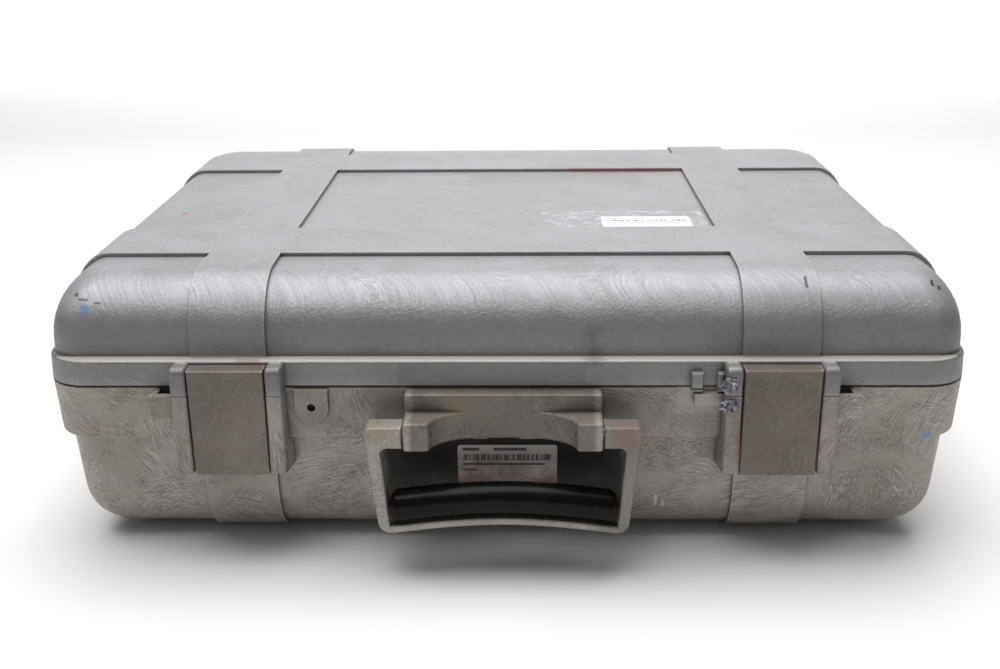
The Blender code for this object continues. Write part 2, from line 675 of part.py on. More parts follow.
def make_latch(side):
    """Lever, link and two pins of one latch."""
    centre = SIDES[side] * LATCH_X
    half = PLATE_WIDTH / 2
    base_pivot = (centre, LINK_Y, LINK_PIN_Z)
    lever_pivot = (centre, LINK_Y, LEVER_PIN_Z)
    cheek_inner = half - CHEEK_INSET - CHEEK_THICKNESS
    link_half = cheek_inner - GAP
    lever = prism(lever_outline(), centre - half, centre + half, "x")
    lever = rounded(lever, PLATE_EDGE, lambda a, b: max(a.y, b.y) < PLATE_FRONT_TOP + MM / 2)
    cheek = stadium(LINK_Y, LEVER_PIN_Z, LEVER_PIN_Z, LINK_RADIUS)
    foot = PLATE_FRONT_BOTTOM + PLATE_THICKNESS / 2
    web = ((foot, LEVER_PIN_Z + LINK_RADIUS), (LINK_Y, LEVER_PIN_Z + LINK_RADIUS),
           (LINK_Y, LEVER_PIN_Z - LINK_RADIUS), (foot, LEVER_PIN_Z - LINK_RADIUS))
    for sign in (-1, 1):
        ends = sorted((centre + sign * cheek_inner, centre + sign * (cheek_inner + CHEEK_THICKNESS)))
        eye = combine(prism(cheek, ends[0], ends[1], "x"), prism(web, ends[0], ends[1], "x"), "UNION")
        lever = combine(lever, eye, "UNION")
    bore = rod_x(centre - half, centre + half, LINK_Y, LEVER_PIN_Z, PIN_RADIUS + GAP)
    lever = combine(lever, bore, "DIFFERENCE")
    make_node("latch_lever_" + side, lever, latch_paint(), lever_pivot)

    link = prism(stadium(LINK_Y, LINK_PIN_Z, LEVER_PIN_Z, LINK_RADIUS),
                 centre - link_half, centre + link_half, "x")
    bores = [rod_x(centre - half, centre + half, LINK_Y, z, PIN_RADIUS + GAP)
             for z in (LINK_PIN_Z, LEVER_PIN_Z)]
    link = combine(link, join(bores), "DIFFERENCE")
    make_node("latch_link_" + side, link, latch_paint(), base_pivot)

    reach = RIB_INNER + PIN_GRIP
    pin = rod_x(centre - reach, centre + reach, LINK_Y, LINK_PIN_Z, PIN_RADIUS)
    make_node("latch_base_pin_" + side, pin, steel(), base_pivot)
    reach = cheek_inner + CHEEK_THICKNESS
    pin = rod_x(centre - reach, centre + reach, LINK_Y, LEVER_PIN_Z, PIN_RADIUS)
    make_node("latch_lever_pin_" + side, pin, steel(), lever_pivot)


# ---- handle ---------------------------------------------------------------------------

def arch(x, half, foot):
    """Height of the bail's shallow arc over x: foot at the ends and highest in the middle."""
    return foot + BAR_ARCH * math.cos(math.pi / 2 * x / half)


def bail_outline():
    """Front outline in x and z of the bail: down one leg, along the bar, up the other."""
    low = PIVOT_Z - BAIL_DROP
    top = PIVOT_Z + ARM_TOP
    under = PIVOT_Z - ARM_UNDER
    bar_half = BAIL_HALF_BOTTOM - BAIL_CORNER
    outer = [(bar_half * step / ARCH_STEPS, arch(bar_half * step / ARCH_STEPS, bar_half, low))
             for step in range(ARCH_STEPS)]
    outer += arc(bar_half, low + BAIL_CORNER, BAIL_CORNER, -90, 0, 5)
    outer += arc(BAIL_HALF_TOP - BAIL_SHOULDER, top - BAIL_SHOULDER, BAIL_SHOULDER, 0, 90, 4)
    end = BRACKET_HALF + ARM_GAP
    inner_top = BAIL_HALF_TOP - LEG_WIDTH
    inner = [(end, top), (end, under), *arc(inner_top - BAIL_SHOULDER, under - BAIL_SHOULDER,
                                            BAIL_SHOULDER, 90, 0, 4)]
    half = opening_half()
    inner += [(half * (1 - step / ARCH_STEPS), arch(half * (1 - step / ARCH_STEPS), half, low + BAR_HEIGHT))
              for step in range(ARCH_STEPS + 1)]
    return outer + inner + mirrored(inner[:-1]) + mirrored(outer[1:])


def opening_half():
    """Half the width of the bail's opening at its foot."""
    return BAIL_HALF_BOTTOM - LEG_WIDTH + LEG_FLARE


def along_arch(half, low, shift=0.0):
    """Points over the width of a bar that follows the bail's arch."""
    xs = [half * (2 * step / ARCH_STEPS - 1) for step in range(ARCH_STEPS + 1)]
    return [(x, arch(x, half, low) + shift) for x in xs]


def grip_bar(half, foot):
    """Bar with an oval section and rounded ends that follows the bail's arch."""
    bm = bmesh.new()
    ends = arc(0, 0, GRIP_EDGE, 90, 0, 4)
    stations = [(-half + GRIP_EDGE - a, GRIP_EDGE - b) for b, a in ends]
    stations += [(x, 0) for x, _ in along_arch(half - GRIP_EDGE, 0)[1:-1]]
    stations += [(-x, inset) for x, inset in reversed(stations[:len(ends)])]
    rings = []
    for x, inset in stations:
        middle = arch(x, half, foot) + GRIP_HEIGHT / 2
        outline = circle(0, 0, 1, GRIP_SIDES)
        rings.append([bm.verts.new((x, PIVOT_Y + (GRIP_DEPTH / 2 - inset) * a,
                                    middle + (GRIP_HEIGHT / 2 - inset) * b)) for a, b in outline])
    for near, far in zip(rings, rings[1:]):
        bridge(bm, near, far)
    bm.faces.new(rings[0])
    bm.faces.new(rings[-1])
    return closed(bm)


def arched_block(half, depth, low, height):
    """Rectangular bar along x whose top and bottom follow the bail's arch."""
    outline = along_arch(half, low) + along_arch(half, low, height)[::-1]
    return prism(outline, PIVOT_Y - depth / 2, PIVOT_Y + depth / 2, "y")


def make_handle():
    half = opening_half()
    bar_top = PIVOT_Z - BAIL_DROP + BAR_HEIGHT
    y0 = PIVOT_Y - BAIL_DEPTH / 2
    bail = prism(bail_outline(), y0, y0 + BAIL_DEPTH, "y")
    bail = rounded(bail, BAIL_EDGE, lambda a, b: a.y == b.y)
    spine = arched_block(half + BAIL_EDGE, SPINE_DEPTH, bar_top - BAIL_EDGE, SPINE_HEIGHT + BAIL_EDGE)
    bail = combine(bail, spine, "UNION")
    bore_end = BAIL_HALF_TOP - HANDLE_PIN_END
    bores = []
    for sign in SIDES.values():
        ends = sorted((sign * (BRACKET_HALF - MM), sign * bore_end))
        bores.append(rod_x(ends[0], ends[1], PIVOT_Y, PIVOT_Z, HANDLE_PIN_RADIUS + GAP))
    bail = combine(bail, join(bores), "DIFFERENCE")
    make_node("handle_bail", bail, base_paint(), HANDLE_AXIS)

    grip = grip_bar(half - GAP, bar_top + GAP)
    slot = arched_block(half + BAIL_EDGE, SPINE_DEPTH + 2 * GAP, bar_top - BAR_HEIGHT,
                        SPINE_HEIGHT + BAR_HEIGHT + GAP)
    grip = combine(grip, slot, "DIFFERENCE")
    make_node("handle_grip", grip, grip_plastic(), HANDLE_AXIS)

    for side, sign in SIDES.items():
        ends = sorted((sign * (LUG_INNER + MM), sign * (bore_end - GAP)))
        pin = rod_x(ends[0], ends[1], PIVOT_Y, PIVOT_Z, HANDLE_PIN_RADIUS)
        make_node("handle_pin_" + side, pin, steel(), HANDLE_AXIS)


# ---- small fittings -----------------------------------------------------------------------

def make_hinge_pins():
    for side, sign in SIDES.items():
        reach = HINGE_WIDTH / 2
        pin = rod_x(sign * BAND_X - reach, sign * BAND_X + reach, HINGE_Y, 0, HINGE_PIN_RADIUS)
        make_node("hinge_pin_" + side, pin, steel(), (sign * BAND_X, HINGE_Y, 0))


def make_vent():
    """Release screw from inside the base, with its seal under the head."""
    _, seat = vent_seat()
    head = seat + 2 * GAP + VENT_SEAL
    shank = rod_y(VENT_HEAD_RECESS - VENT_RAISE, head + MM, VENT_X, VENT_Z, VENT_SCREW)
    knob = rod_y(head, head + VENT_KNOB, VENT_X, VENT_Z, VENT_SEAT)
    pivot = (VENT_X, 0, VENT_Z)
    make_node("vent_screw", combine(knob, shank, "UNION"), steel(), pivot)
    ring = rod_y(seat + GAP, seat + GAP + VENT_SEAL, VENT_X, VENT_Z, VENT_SEAT - 2 * GAP)
    hole = rod_y(seat - MM, head + MM, VENT_X, VENT_Z, VENT_SCREW + GAP)
    make_node("vent_seal", combine(ring, hole, "DIFFERENCE"), rubber(), pivot)


def make_labels():
    """Blank stickers: one on the base behind the grip, one on tape on the lid's panel."""
    slope = math.tan(BASE.draft)
    y_top = BASE_LEDGE - FRONT_LABEL_TOP * slope
    y_low = y_top + FRONT_LABEL_HEIGHT * slope
    z_low = FRONT_LABEL_TOP - FRONT_LABEL_HEIGHT
    face = -LABEL_LIFT - LABEL_THICKNESS
    half = LABEL_WIDTH / 2
    outline = ((y_top + face, FRONT_LABEL_TOP), (y_top - LABEL_LIFT, FRONT_LABEL_TOP),
               (y_low - LABEL_LIFT, z_low), (y_low + face, z_low))
    label = prism(outline, FRONT_LABEL_X - half, FRONT_LABEL_X + half, "x")
    label = rounded(label, LABEL_CORNER, lambda a, b: a.x == b.x and a.z == b.z)
    make_node("front_label", label, label_paper())
    base = LID_RISE + LABEL_LIFT
    tape = box(TAPE_X - TAPE_WIDTH / 2, TAPE_X + TAPE_WIDTH / 2, TAPE_Y - TAPE_DEPTH / 2,
               TAPE_Y + TAPE_DEPTH / 2, base, base + LABEL_THICKNESS)
    tape = rounded(tape, LABEL_CORNER, lambda a, b: a.x == b.x and a.y == b.y)
    make_node("panel_tape", tape, clear_tape(), HINGE_AXIS)
    base += LABEL_THICKNESS + LABEL_LIFT
    label = box(TOP_LABEL_X - half, TOP_LABEL_X + half, TOP_LABEL_Y - LABEL_HEIGHT / 2,
                TOP_LABEL_Y + LABEL_HEIGHT / 2, base, base + LABEL_THICKNESS)
    label = rounded(label, LABEL_CORNER, lambda a, b: a.x == b.x and a.y == b.y)
    make_node("panel_label", label, label_paper(), HINGE_AXIS)


def main():
    for obj in list(bpy.data.objects):
        bpy.data.objects.remove(obj)
    frame = bpy.data.objects.new("case_frame", None)
    bpy.context.scene.collection.objects.link(frame)
    frame.location = (0, FRAME_Y, FRAME_Z)
    make_base_shell()
    make_lid_shell()
    make_gasket()
    for side in SIDES:
        make_latch(side)
    make_handle()
    make_hinge_pins()
    make_vent()
    make_labels()


main()
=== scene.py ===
"""Looks of the silver hard carrying case: worn silver paint on black moulded plastic, steel
pins, rubber seals, a black grip, labels without words and a torn hasp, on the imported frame."""

import json
import math

import bpy
from bpy.props import FloatProperty, FloatVectorProperty, PointerProperty
from mathutils import Matrix, Vector

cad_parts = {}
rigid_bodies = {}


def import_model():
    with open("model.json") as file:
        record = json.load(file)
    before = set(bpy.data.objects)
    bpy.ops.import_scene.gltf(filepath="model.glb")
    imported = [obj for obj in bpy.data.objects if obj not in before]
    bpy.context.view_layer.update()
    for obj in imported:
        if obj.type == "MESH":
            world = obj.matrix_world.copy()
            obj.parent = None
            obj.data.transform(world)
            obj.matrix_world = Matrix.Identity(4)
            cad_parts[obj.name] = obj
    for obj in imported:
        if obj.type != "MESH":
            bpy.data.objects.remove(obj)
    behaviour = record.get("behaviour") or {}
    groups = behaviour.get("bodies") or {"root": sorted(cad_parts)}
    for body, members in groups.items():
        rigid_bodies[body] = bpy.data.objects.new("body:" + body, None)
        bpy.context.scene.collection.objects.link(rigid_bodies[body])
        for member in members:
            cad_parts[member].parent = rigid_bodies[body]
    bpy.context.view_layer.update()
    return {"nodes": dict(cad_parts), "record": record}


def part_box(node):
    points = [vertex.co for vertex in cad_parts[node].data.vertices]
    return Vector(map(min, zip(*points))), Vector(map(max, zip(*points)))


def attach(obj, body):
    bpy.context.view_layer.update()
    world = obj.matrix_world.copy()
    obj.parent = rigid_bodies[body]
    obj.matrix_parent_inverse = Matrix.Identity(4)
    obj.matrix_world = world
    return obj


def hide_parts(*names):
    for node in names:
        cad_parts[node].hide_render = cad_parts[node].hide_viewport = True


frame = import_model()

bl_info = {
    "name": "Hard Carrying Case",
    "version": (1, 0, 0),
    "blender": (4, 5, 0),
    "location": "View3D > Sidebar > Case",
    "description": "Builds the finished look of a silver hard carrying case",
    "category": "Add Mesh",
}

MM = 0.001

LID_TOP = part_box("lid_shell")[1].z
BASE_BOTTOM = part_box("base_shell")[0].z
LABEL_LOW, LABEL_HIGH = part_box("front_label")
TOP_LABEL_LOW, TOP_LABEL_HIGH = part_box("panel_label")
HINGE = next(joint["pos_m"] for joint in frame["record"]["behaviour"]["joints"]
             if joint["name"] == "lid_hinge")
PARTING_Z = HINGE[2]
HINGE_BEHIND_FRONT = 378.8 * MM
FRONT_Y = HINGE[1] - HINGE_BEHIND_FRONT
BAND_RAISE = 2 * MM

# The torn hasp, in millimetres in the case's frame
TEAR_X, TEAR_Y = 111.6, -11.0
TEAR_HEIGHTS = (("lid", "lid_paint", 4.9), ("base", "base_paint", -5.9))
TEAR_SHAPE = (0.82, 0.32, 0.66)

# Stage, in metres
FLOOR_WIDTH, FLOOR_DEPTH = 16, 8
BACK_HEIGHT = 6
SWEEP_RADIUS = 2.5


# ---- settings ------------------------------------------------------------------

class CaseSizes(bpy.types.PropertyGroup):
    wall: FloatProperty(
        name="Wall", description="Thickness of the moulded shells, to tell inside from outside",
        default=4.5 * MM, subtype="DISTANCE", unit="LENGTH")
    tear_size: FloatProperty(
        name="Tear size", description="Width of each lump of torn plastic at the broken hasp",
        default=14 * MM, subtype="DISTANCE", unit="LENGTH")


def colour_property(name, text, shade):
    return FloatVectorProperty(name=name, description=text, default=linear(shade)[:3],
                               size=3, min=0, max=1, subtype="COLOR")


def linear(shade):
    """Linear RGBA of an sRGB hex colour."""
    parts = [int(shade[i:i + 2], 16) / 255 for i in (1, 3, 5)]
    return [p / 12.92 if p <= 0.04045 else ((p + 0.055) / 1.055) ** 2.4 for p in parts] + [1.0]


class CaseColours(bpy.types.PropertyGroup):
    lid_paint: colour_property("Lid paint", "Silver paint of the lid", "#a1a2a5")
    base_paint: colour_property("Base paint", "Dulled silver paint of the base", "#a9a39d")
    latch_paint: colour_property("Latch paint", "Grimy silver paint of the latch plates", "#777169")
    bail_paint: colour_property("Bail paint", "Silver paint of the handle bail", "#a5a199")
    plastic: colour_property("Bare plastic", "Black plastic under the paint", "#1c1c1e")
    grip: colour_property("Grip", "Black plastic of the grip", "#0b0b0c")
    floor: colour_property("Floor", "Pale studio floor", "#f7f7f7")


# ---- materials -----------------------------------------------------------------

def add(tree, kind, inputs=None, **settings):
    """Adds a shader node with its settings; an input is a value or another node's output."""
    item = tree.nodes.new(kind)
    for name, value in settings.items():
        setattr(item, name, value)
    for socket, value in (inputs or {}).items():
        if isinstance(value, bpy.types.NodeSocket):
            tree.links.new(value, item.inputs[socket])
        else:
            item.inputs[socket].default_value = value
    return item


def new_material(name):
    """An empty tree with a Principled shader, and the object's coordinates."""
    material = bpy.data.materials.new(name)
    material.use_nodes = True
    tree = material.node_tree
    tree.nodes.clear()
    shader = add(tree, "ShaderNodeBsdfPrincipled")
    add(tree, "ShaderNodeOutputMaterial", {"Surface": shader.outputs["BSDF"]})
    place = add(tree, "ShaderNodeTexCoord").outputs["Object"]
    return material, tree, shader, place


def in_case(x, y, z):
    """Case frame, in millimetres from the rim's front and the parting plane, to this frame."""
    return (x * MM, FRONT_Y + y * MM, PARTING_Z + z * MM)


def unrolled(tree, place):
    """Lays the front, top and side faces of the case out on one plane without a break."""
    across = add(tree, "ShaderNodeVectorMath", {0: place, 1: (1, 0.6, 0)}, operation="DOT_PRODUCT")
    along = add(tree, "ShaderNodeVectorMath", {0: place, 1: (0, -0.8, 1)}, operation="DOT_PRODUCT")
    return add(tree, "ShaderNodeCombineXYZ", {"X": across.outputs["Value"],
                                              "Y": along.outputs["Value"]}).outputs["Vector"]


def rubbed_arcs(tree, flat, patch, pitch, length, shift):
    """Fine strokes that lie like fur: in each patch they curve round a point beside it, a pitch
    apart and about a length long, and they fade out towards the next patch."""
    moved = add(tree, "ShaderNodeVectorMath", {0: flat, 1: (shift, -shift * 0.7, 0)},
                operation="ADD").outputs[0]
    bent = add(tree, "ShaderNodeTexNoise", {"Vector": moved, "Scale": 0.7 / patch, "Detail": 2.0},
               noise_dimensions="2D").outputs["Color"]
    bent = add(tree, "ShaderNodeVectorMath", {0: bent, 1: (patch * 0.6, patch * 0.6, 0), 2: moved},
               operation="MULTIPLY_ADD").outputs[0]
    cells = add(tree, "ShaderNodeTexVoronoi", {"Vector": bent, "Scale": 1 / patch},
                voronoi_dimensions="2D")
    border = add(tree, "ShaderNodeTexVoronoi", {"Vector": bent, "Scale": 1 / patch},
                 voronoi_dimensions="2D", feature="DISTANCE_TO_EDGE")
    off = add(tree, "ShaderNodeVectorMath", {0: cells.outputs["Color"], 1: (0.5, 0.5, 0.5)},
              operation="SUBTRACT").outputs[0]
    centre = add(tree, "ShaderNodeVectorMath", {0: off, 1: (patch * 6, patch * 6, 0),
                                                2: cells.outputs["Position"]},
                 operation="MULTIPLY_ADD").outputs[0]
    away = add(tree, "ShaderNodeVectorMath", {0: bent, 1: centre}, operation="SUBTRACT").outputs[0]
    radius = add(tree, "ShaderNodeVectorMath", {0: away, "Scale": 1 / pitch}, operation="SCALE")
    radius = add(tree, "ShaderNodeVectorMath", {0: radius.outputs[0]}, operation="LENGTH")
    sides = add(tree, "ShaderNodeSeparateXYZ", {"Vector": away})
    turn = add(tree, "ShaderNodeMath", {0: sides.outputs["Y"], 1: sides.outputs["X"]},
               operation="ARCTAN2").outputs[0]
    turn = add(tree, "ShaderNodeMath", {0: turn, 1: 2.4 * patch / length},
               operation="MULTIPLY").outputs[0]
    stroke = add(tree, "ShaderNodeCombineXYZ", {"X": radius.outputs["Value"], "Y": turn}).outputs[0]
    strokes = add(tree, "ShaderNodeTexNoise", {"Vector": stroke, "Scale": 1.0, "Detail": 3.0,
                                               "Roughness": 0.72}, noise_dimensions="2D").outputs["Fac"]
    strokes = add(tree, "ShaderNodeMapRange", {"Value": strokes, "From Min": 0.36, "From Max": 0.72,
                                               "To Min": -1.0}).outputs["Result"]
    fade = add(tree, "ShaderNodeMapRange", {"Value": border.outputs["Distance"], "From Min": 0.0,
                                            "From Max": 0.22}, interpolation_type="SMOOTHSTEP")
    return add(tree, "ShaderNodeMath", {0: strokes, 1: fade.outputs["Result"]},
               operation="MULTIPLY").outputs[0]


def patch_mask(tree, place, centre, half, soft, ragged):
    """1 inside a box of half-sizes half, fading out over soft outside it, ragged by noise.
    All in millimetres in the case's frame."""
    out = add(tree, "ShaderNodeVectorMath", {0: place, 1: in_case(*centre)}, operation="SUBTRACT")
    out = add(tree, "ShaderNodeVectorMath", {0: out.outputs[0]}, operation="ABSOLUTE")
    out = add(tree, "ShaderNodeVectorMath", {0: out.outputs[0], 1: tuple(v * MM for v in half)},
              operation="SUBTRACT")
    out = add(tree, "ShaderNodeVectorMath", {0: out.outputs[0], 1: (0, 0, 0)}, operation="MAXIMUM")
    out = add(tree, "ShaderNodeVectorMath", {0: out.outputs[0]}, operation="LENGTH").outputs["Value"]
    noise = add(tree, "ShaderNodeTexNoise", {"Vector": place, "Scale": 0.55 / (soft * MM),
                                             "Detail": 5.0, "Roughness": 0.68}).outputs["Fac"]
    out = add(tree, "ShaderNodeMath", {0: noise, 1: 2 * ragged * soft * MM, 2: out},
              operation="MULTIPLY_ADD").outputs[0]
    return add(tree, "ShaderNodeMapRange", {"Value": out, "From Min": ragged * soft * MM,
                                            "From Max": (1 + ragged) * soft * MM, "To Min": 1.0,
                                            "To Max": 0.0},
               interpolation_type="SMOOTHSTEP").outputs["Result"]


def lay_over(tree, shader, factor, strength, shade):
    """Lays one more colour, at most strength opaque, over what already feeds the shader."""
    below = shader.inputs["Base Color"].links[0].from_socket
    factor = add(tree, "ShaderNodeMath", {0: factor, 1: strength}, operation="MULTIPLY").outputs[0]
    mixed = add(tree, "ShaderNodeMix", {"Factor": factor, 6: below, 7: linear(shade)},
                data_type="RGBA").outputs[2]
    tree.links.new(mixed, shader.inputs["Base Color"])


def mark_places(tree, shader, place, marks):
    """Small marks: centre, half-sizes and fade in millimetres, raggedness, colour, strength."""
    for centre, half, soft, ragged, shade, strength in marks:
        factor = patch_mask(tree, place, centre, half, soft, ragged)
        lay_over(tree, shader, factor, strength, shade)


def worn_paint(name, paint, dirt, streaks=0.3, dulled=0.5, rough=0.42, corner_shade_depth=4.0, edges=0.5):
    """Silver paint sprayed on moulded ABS: fine aluminium flake in a dull binder, so it is part
    metallic with a wide soft shine, rubbed into fine arcs, darkened in corners by painted shade
    and grime, and lightened at edges by wear and a painted highlight."""
    material, tree, shader, place = new_material(name)
    flat = unrolled(tree, place)
    broad = rubbed_arcs(tree, flat, 62 * MM, 0.75 * MM, 11 * MM, 0.11)
    fine = rubbed_arcs(tree, flat, 41 * MM, 0.65 * MM, 7 * MM, 0.47)
    rubs = add(tree, "ShaderNodeMath", {0: broad, 1: fine}, operation="ADD").outputs[0]
    clouds = add(tree, "ShaderNodeTexNoise", {"Vector": place, "Scale": 1 / (42 * MM), "Detail": 7.0,
                                              "Roughness": 0.62}).outputs["Fac"]
    clouds = add(tree, "ShaderNodeMapRange", {"Value": clouds, "From Min": 0.36, "From Max": 0.66,
                                              "To Max": dulled}, interpolation_type="SMOOTHSTEP")
    colour = add(tree, "ShaderNodeMix", {"Factor": clouds.outputs["Result"], 6: (*paint, 1),
                                         7: linear(dirt)}, data_type="RGBA").outputs[2]
    stroke = add(tree, "ShaderNodeMath", {0: rubs, 1: streaks, 2: 1.0},
                 operation="MULTIPLY_ADD").outputs[0]
    flake = add(tree, "ShaderNodeTexNoise", {"Vector": place, "Scale": 1 / (0.9 * MM), "Detail": 3.0,
                                             "Roughness": 0.8}).outputs["Fac"]
    grain = add(tree, "ShaderNodeMapRange", {"Value": flake, "From Min": 0.3, "From Max": 0.7,
                                             "To Min": 0.82, "To Max": 1.18}).outputs["Result"]
    level = add(tree, "ShaderNodeMath", {0: stroke, 1: grain}, operation="MULTIPLY").outputs[0]
    colour = add(tree, "ShaderNodeVectorMath", {0: colour, "Scale": level}, operation="SCALE").outputs[0]
    tree.links.new(colour, shader.inputs["Base Color"])
    # Painted shade, with some grime, darkens the corners and creases that the occlusion finds
    shut = add(tree, "ShaderNodeAmbientOcclusion", {"Distance": corner_shade_depth * MM}, samples=6,
               only_local=True).outputs["AO"]
    corner_shade_and_grime = add(tree, "ShaderNodeMapRange", {"Value": shut, "From Min": 0.3, "From Max": 0.85,
                                            "To Min": 1.0, "To Max": 0.0}).outputs["Result"]
    lay_over(tree, shader, corner_shade_and_grime, 0.8, "#35302b")
    # Convex edges lightened: worn paint, and a painted highlight on rims, ledges and lug tops
    thin = add(tree, "ShaderNodeAmbientOcclusion", {"Distance": 1.5 * MM}, samples=6, inside=True,
               only_local=True).outputs["AO"]
    edge_wear_and_highlight = add(tree, "ShaderNodeMapRange", {"Value": thin, "From Min": 0.3, "From Max": 0.8,
                                            "To Min": 1.0, "To Max": 0.0}).outputs["Result"]
    patchy = add(tree, "ShaderNodeTexNoise", {"Vector": place, "Scale": 1 / (5 * MM), "Detail": 5.0,
                                              "Roughness": 0.7}).outputs["Fac"]
    patchy = add(tree, "ShaderNodeMapRange", {"Value": patchy, "From Min": 0.35, "From Max": 0.6,
                                              "To Min": 0.35}).outputs["Result"]
    edge_wear_and_highlight = add(tree, "ShaderNodeMath", {0: edge_wear_and_highlight, 1: patchy}, operation="MULTIPLY").outputs[0]
    lay_over(tree, shader, edge_wear_and_highlight, edges, "#cfccc6")
    skin = add(tree, "ShaderNodeBump", {"Height": flake, "Strength": 0.16, "Distance": 0.3 * MM})
    lines = add(tree, "ShaderNodeBump", {"Height": rubs, "Strength": 0.12, "Distance": 0.12 * MM,
                                         "Normal": skin.outputs["Normal"]})
    tree.links.new(lines.outputs["Normal"], shader.inputs["Normal"])
    polish = add(tree, "ShaderNodeMapRange", {"Value": rubs, "From Min": -1.0, "From Max": 1.0,
                                              "To Min": rough + 0.06, "To Max": rough - 0.04})
    tree.links.new(polish.outputs["Result"], shader.inputs["Roughness"])
    shader.inputs["Metallic"].default_value = 0.4
    return material, tree, shader, place


def lid_paint(colours):
    """Cleaner paint than the base's, cool and bright on top; on the front's lower curve the
    spray went on too thick and crinkled."""
    material, tree, shader, place = worn_paint("silver_paint_on_moulded_lid", colours.lid_paint,
                                               "#8f8e91", 0.1, 0.4, 0.48, 3.2, 0.6)
    lines = shader.inputs["Normal"].links[0].from_socket
    run = patch_mask(tree, place, (0, 6, 26), (240, 20, 9), 8, 0.5)
    crinkle = add(tree, "ShaderNodeTexNoise", {"Vector": place, "Scale": 1 / (1.8 * MM),
                                               "Detail": 3.0, "Roughness": 0.6, "Distortion": 0.8})
    crinkle = add(tree, "ShaderNodeMath", {0: crinkle.outputs["Fac"], 1: run}, operation="MULTIPLY")
    crinkle = add(tree, "ShaderNodeBump", {"Height": crinkle.outputs[0], "Strength": 0.5,
                                           "Distance": 0.9 * MM, "Normal": lines})
    tree.links.new(crinkle.outputs["Normal"], shader.inputs["Normal"])
    mark_places(tree, shader, place, (
        # a darker band over the front wall, a painted highlight along the ledge, and painted shade in
        # the parting gap that also blackens the mating rim faces
        ((0, 0, 18), (240, 30, 12), 10, 0.6, "#6b625f", 0.48),
        ((0, 3, 13.8), (240, 4.4, 0.3), 0.5, 0.4, "#dedad4", 0.65),
        ((0, 186, 0.3), (240, 192, 0.3), 0.5, 0.4, "#161412", 0.9),
        # a dull patch on the rim and a smudge above it
        ((-6, -1, 7), (47, 3, 5.5), 0.8, 0.2, "#66605c", 0.3),
        ((45, 6, 20), (0.5, 20, 5), 7, 1.4, "#5c5754", 0.4),
        # blue ink and dark nicks at the left corner
        ((-212, 12, 37), (0.9, 14, 0.8), 2.2, 1.3, "#5b8fc0", 0.75),
        ((-213, 14, 41), (2.2, 14, 0.1), 0.7, 1.8, "#2c2a2c", 0.8),
        ((-217, 14, 42.6), (0.6, 14, 0.3), 0.7, 1.8, "#2c2a2c", 0.8),
        ((-205, 14, 39.6), (1.4, 14, 0.1), 0.7, 1.8, "#2c2a2c", 0.8),
        # a rust spot on the left of the lid's top
        ((-196, 150, 51), (0.6, 1.6, 3), 1.8, 1.2, "#a8642c", 0.7),
        # nicks on the right band and at the right corner
        ((152, 22, 50), (0.4, 3, 4), 0.7, 1.4, "#26262a", 0.85),
        ((216, 14, 46), (0.5, 14, 0.6), 0.7, 1.8, "#26262a", 0.9),
        ((219, 14, 44), (0.8, 14, 0.2), 0.7, 1.8, "#26262a", 0.85),
        # a smeared red line and dulled paint on the panel
        ((78, 262, 51), (34, 1, 3), 6, 1.5, "#a2434c", 0.35),
        ((30, 240, 51), (55, 9, 3), 9, 1.0, "#8d8b90", 0.35),
        # brown stain and darker paint round the latches
        ((-128, -4, 15), (4, 6, 3), 3, 1.0, "#7c4a30", 0.35),
        ((-138, -9, 6), (30, 7, 6), 2, 0.6, "#5f5a57", 0.3),
        ((138, -9, 6), (30, 7, 6), 2, 0.6, "#5f5a57", 0.2),
    ))
    return material


def base_paint(colours):
    """Browner, heavily rubbed paint that stops short behind the handle, where the black
    plastic shows because the spray never reached it, darkened further by painted shade from the
    handle and its bracket."""
    material, tree, shader, place = worn_paint("silver_paint_on_moulded_base", colours.base_paint,
                                               "#857c74", 0.32, 0.6, 0.48)
    mark_places(tree, shader, place, (
        # bare plastic with painted shade from the handle over it, and painted shade in the parting gap
        # that also blackens the mating rim faces
        ((0, 12, -58), (60, 9, 27), 9, 0.5, "#1b1a1c", 0.97),
        ((0, 186, 0), (240, 192, 0.3), 0.5, 0.4, "#161412", 0.9),
        # the strap eyes: painted shade inside the slots, and a dull left one
        ((169.6, -2.6, -7), (3.6, 2.5, 7), 0.5, 0.2, "#1d1b1a", 0.95),
        ((-169.6, -2.6, -7), (3.6, 2.5, 7), 0.5, 0.2, "#1d1b1a", 0.95),
        ((-172, -9, -8), (5, 1, 6), 2, 0.5, "#625d57", 0.35),
        # blue ink at the right, and two pale scratches by the handle
        ((214, 12, -27.5), (1.6, 14, 0.8), 2.2, 1.3, "#5b8cb8", 0.65),
        ((80, 10, -71), (0.3, 4, 3), 0.8, 1.4, "#dddbd7", 0.6),
        ((84, 10, -73), (0.3, 4, 2), 0.8, 1.4, "#dddbd7", 0.6),
        # darker paint on the handle bracket and the rim beside it, grime on the latch ribs
        ((0, -12, -16), (44, 13, 15), 3, 0.6, "#544c45", 0.62),
        ((0, 0, -12), (100, 4, 9), 12, 0.8, "#564f48", 0.28),
        ((-138, -8, -28), (29, 7, 27), 3, 0.6, "#5a524b", 0.2),
        ((138, -8, -28), (29, 7, 27), 3, 0.6, "#5a524b", 0.2),
        # bright torn edge of the hasp, brown stains on rib and bracket
        ((98, -2, -6), (9, 6, 7), 3, 1.0, "#b9b5ae", 0.35),
        ((120, -4, -22), (3, 8, 12), 4, 1.2, "#7c4a3a", 0.3),
        ((-22, -6, -8), (4, 6, 3), 6, 1.0, "#8a7440", 0.25),
    ))
    return material


